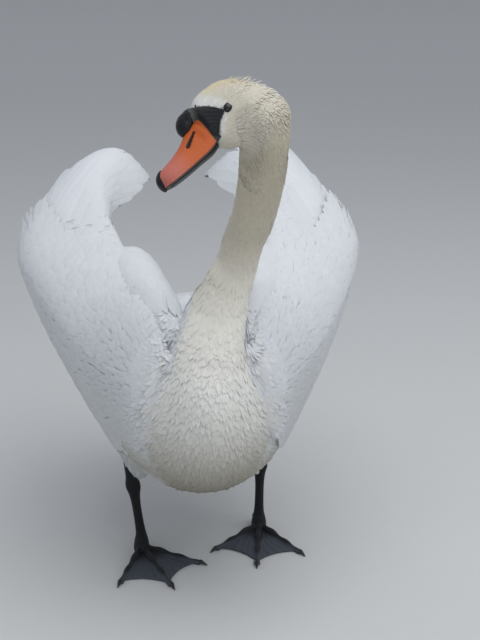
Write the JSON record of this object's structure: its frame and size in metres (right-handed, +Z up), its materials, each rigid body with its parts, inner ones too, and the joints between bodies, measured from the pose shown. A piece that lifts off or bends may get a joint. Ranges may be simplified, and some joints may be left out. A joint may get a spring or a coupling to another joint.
{
  "type": "mute swan life-size museum model",
  "caption": "Life-size mute swan standing in threat display: sail-like raised wings, S-bent neck drawn back, head turned to its right, webbed feet",
  "frame": {"origin": "on the floor, under the middle of the model's bounding box", "axes": "+X to the swan's left, +Y to its tail, +Z up; the swan faces -Y"},
  "size_m": [0.5706, 0.9486, 0.8408],
  "materials": {
    "plumage_white": "soft white feathers",
    "plumage_cream": "soft cream-grey feathers",
    "bill_orange": "satin horn",
    "bare_black": "smooth bare black skin and horn",
    "eye": "wet dark brown eye",
    "leg_skin": "scaly grey-black skin"
  },
  "bodies": {
    "root": {"trunk": "plumage_cream", "neck_lower": "plumage_cream", "neck_middle": "plumage_cream", "neck_upper": "plumage_cream", "head": "plumage_cream", "bill_knob": "bare_black", "bill_upper": "bill_orange", "bill_lower": "bare_black", "bill_nail": "bare_black", "eye_left": "eye", "thigh_left": "plumage_white", "shank_left": "leg_skin", "foot_left": "leg_skin", "claw_left_inner": "bare_black", "claw_left_middle": "bare_black", "claw_left_outer": "bare_black", "scapulars_left": "plumage_white", "wing_cover_left": "plumage_white", "wing_sail_left": "plumage_white", "wing_primaries_left": "plumage_white", "eye_right": "eye", "thigh_right": "plumage_white", "shank_right": "leg_skin", "foot_right": "leg_skin", "claw_right_inner": "bare_black", "claw_right_middle": "bare_black", "claw_right_outer": "bare_black", "scapulars_right": "plumage_white", "wing_cover_right": "plumage_white", "wing_sail_right": "plumage_white", "wing_primaries_right": "plumage_white", "tail": "plumage_white"}
  },
  "joints": []
}
